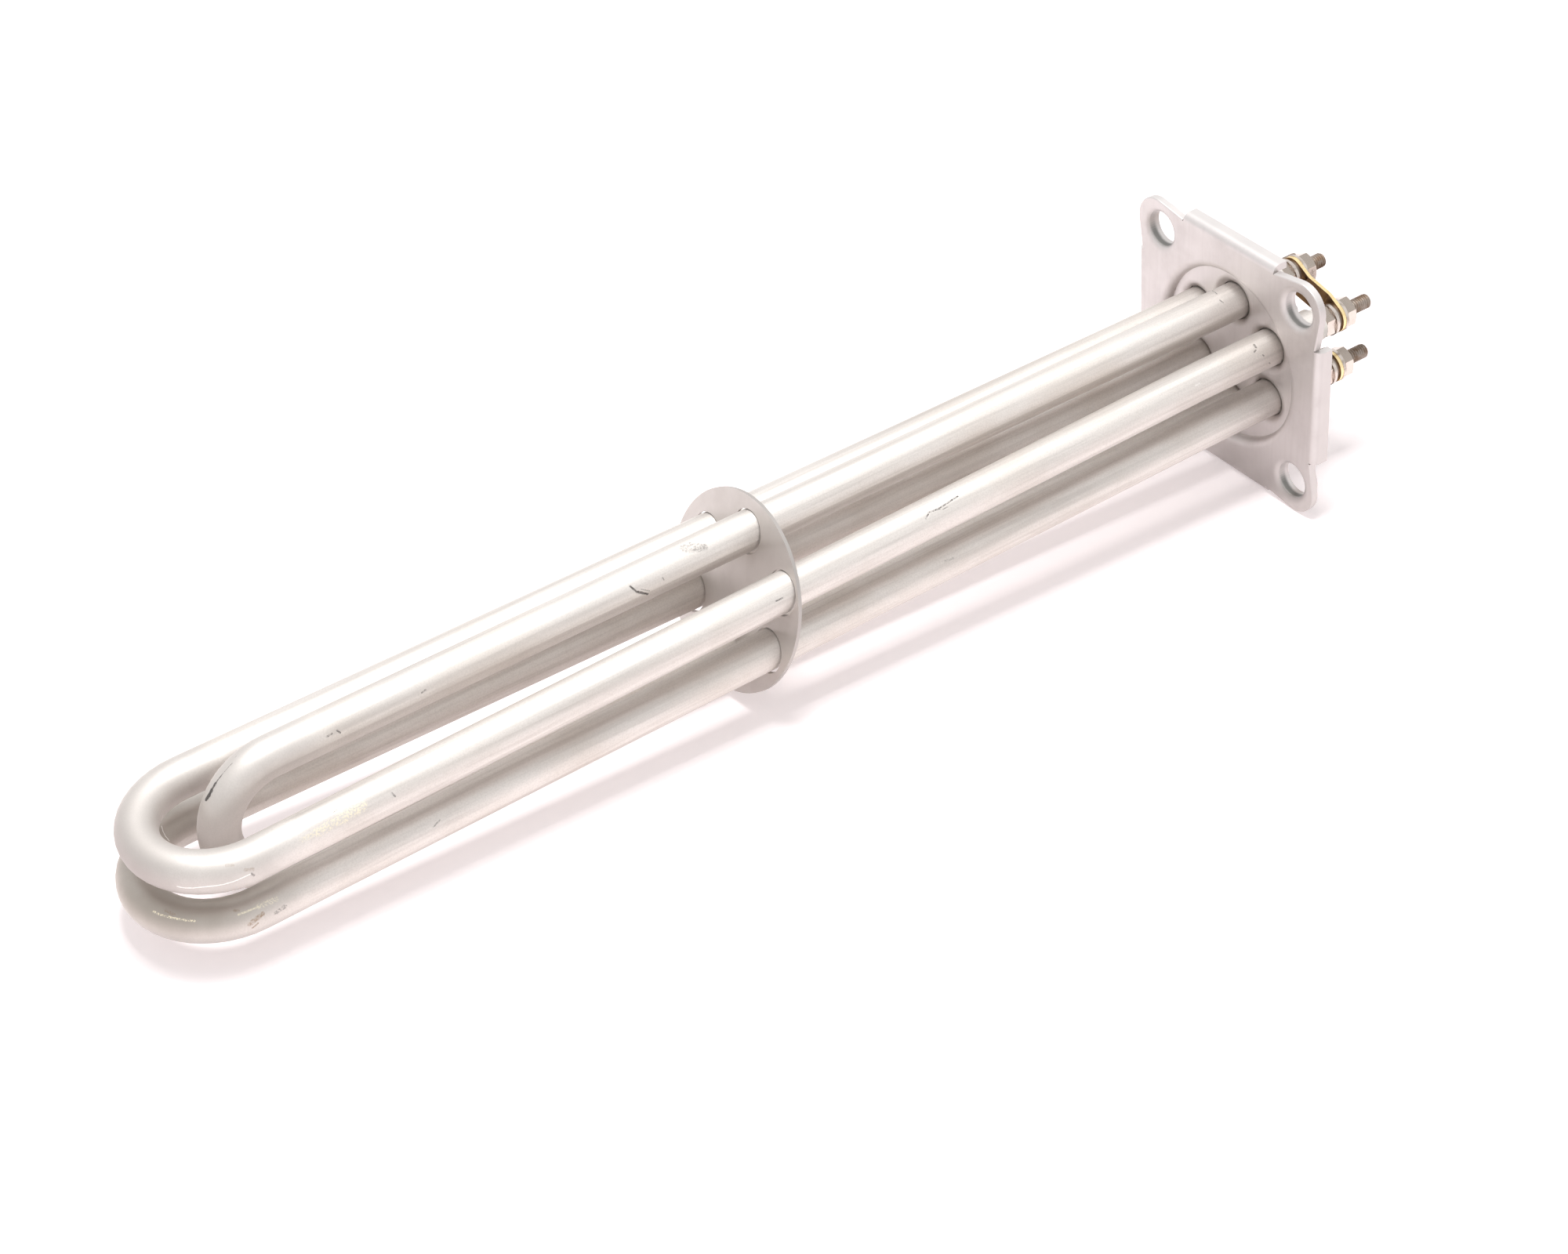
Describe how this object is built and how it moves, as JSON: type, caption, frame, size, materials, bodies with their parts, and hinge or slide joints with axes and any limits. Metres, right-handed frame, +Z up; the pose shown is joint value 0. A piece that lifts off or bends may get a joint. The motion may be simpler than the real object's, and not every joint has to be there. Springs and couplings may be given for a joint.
{
  "type": "tubular heating element",
  "caption": "Three hairpin heating tubes brazed through a pressed square flange, with a round spacer disc and threaded terminals joined by brass links.",
  "frame": {"origin": "centre of the four corner holes, in the plane of the flange's front face, which is the side that the tubes leave from", "axes": "+X along the tubes from the flange to the bends, +Z up, +Y to the right for someone who looks at the front face"},
  "size_m": [0.3621, 0.0706, 0.0706],
  "materials": {
    "flange_steel": "satin pressed stainless steel",
    "disc_steel": "satin sheet",
    "sheath_steel": "satin drawn tube",
    "packed_powder": "packed white mineral powder",
    "resistance_wire": "drawn nickel chrome wire",
    "pin_steel": "dark oxidised threaded steel",
    "ceramic_bush": "unglazed white ceramic",
    "plated_nuts": "plated, lightly handled",
    "plated_washers": "plated",
    "spring_steel": "dull plated spring steel",
    "link_brass": "rolled brass strip"
  },
  "bodies": {
    "root": {"mounting_flange": "flange_steel", "spacer_disc": "disc_steel", "sheath_upper": "sheath_steel", "powder_filling_upper": "packed_powder", "resistance_coil_upper": "resistance_wire", "sheath_lower": "sheath_steel", "powder_filling_lower": "packed_powder", "resistance_coil_lower": "resistance_wire", "sheath_upright": "sheath_steel", "powder_filling_upright": "packed_powder", "resistance_coil_upright": "resistance_wire", "terminal_pin_1": "pin_steel", "insulator_bush_1": "ceramic_bush", "terminal_pin_2": "pin_steel", "insulator_bush_2": "ceramic_bush", "terminal_pin_3": "pin_steel", "insulator_bush_3": "ceramic_bush", "terminal_pin_4": "pin_steel", "insulator_bush_4": "ceramic_bush", "terminal_pin_5": "pin_steel", "insulator_bush_5": "ceramic_bush", "terminal_pin_6": "pin_steel", "insulator_bush_6": "ceramic_bush", "inner_nuts": "plated_nuts", "outer_nuts": "plated_nuts", "inner_washers": "plated_washers", "outer_washers": "plated_washers", "lock_washers": "spring_steel", "terminal_link_2_3": "link_brass", "terminal_link_4_6": "link_brass", "terminal_link_1_5": "link_brass"}
  },
  "joints": []
}
